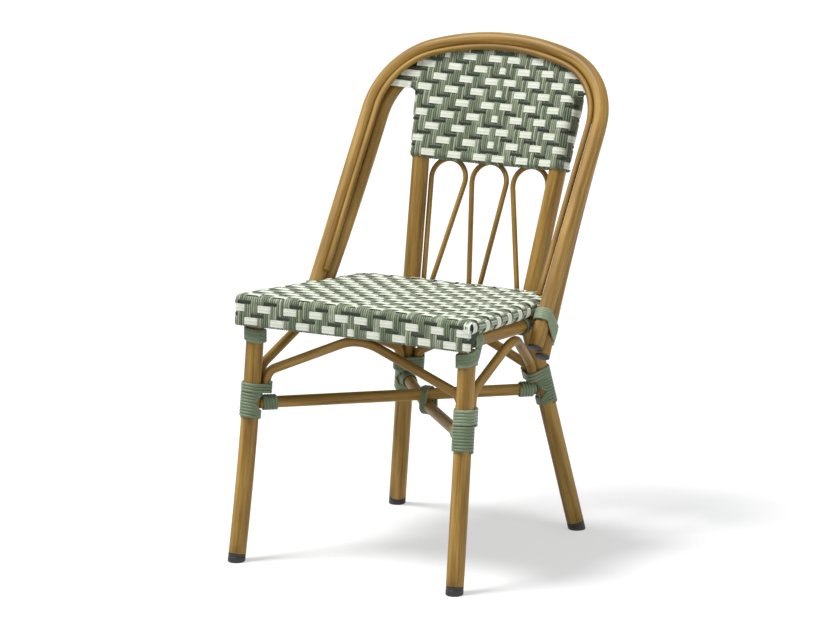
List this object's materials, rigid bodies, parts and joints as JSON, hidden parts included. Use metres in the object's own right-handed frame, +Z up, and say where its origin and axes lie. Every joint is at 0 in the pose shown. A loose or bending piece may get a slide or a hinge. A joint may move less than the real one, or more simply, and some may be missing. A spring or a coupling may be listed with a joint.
{
  "type": "bistro chair",
  "caption": "Armless cafe chair with a bent tube frame, a high arched back hoop, loops under a woven back panel, a woven seat, and crossed stretchers with wound bindings.",
  "frame": {"origin": "on the floor, in the middle of the width and of the depth", "axes": "+Z up, +Y towards the back, +X to the right as seen from the front"},
  "size_m": [0.4948, 0.5884, 0.8506],
  "materials": {
    "tube": "satin bamboo-look powder coat",
    "cap": "matte black",
    "weave": "woven synthetic strips in sage green, white and dark green",
    "strand": "sage green synthetic strand"
  },
  "bodies": {
    "root": {"back_bar": "tube", "back_loop_left": "tube", "back_loop_middle": "tube", "back_loop_right": "tube", "front_arch": "tube", "front_hoop": "tube", "front_leg_left": "tube", "front_leg_right": "tube", "front_rail": "tube", "hoop_rod": "tube", "lower_bar": "tube", "lower_stretcher": "tube", "rear_arch": "tube", "rear_hoop": "tube", "rear_leg_post_left": "tube", "rear_leg_post_right": "tube", "seat_front_frame": "tube", "seat_rail": "tube", "seat_side_frame": "tube", "seat_spacer_front_left": "tube", "seat_spacer_front_right": "tube", "seat_spacer_side_1_left": "tube", "seat_spacer_side_1_right": "tube", "seat_spacer_side_2_left": "tube", "seat_spacer_side_2_right": "tube", "side_arch_left": "tube", "side_arch_right": "tube", "upper_stretcher": "tube", "front_glide_left": "cap", "front_glide_right": "cap", "front_hoop_cap_left": "cap", "front_hoop_cap_right": "cap", "rear_glide_left": "cap", "rear_glide_right": "cap", "rear_hoop_cap_left": "cap", "rear_hoop_cap_right": "cap", "seat_weave": "weave", "back_weave": "weave", "crossing_binding": "strand", "front_leg_binding_left": "strand", "front_leg_binding_right": "strand", "hoop_binding_left": "strand", "hoop_binding_right": "strand", "leg_top_binding_left": "strand", "leg_top_binding_right": "strand", "rail_binding_left": "strand", "rail_binding_right": "strand", "rear_leg_binding_left": "strand", "rear_leg_binding_right": "strand", "stretcher_binding_front_left": "strand", "stretcher_binding_front_right": "strand", "stretcher_binding_rear_left": "strand", "stretcher_binding_rear_right": "strand"}
  },
  "joints": []
}
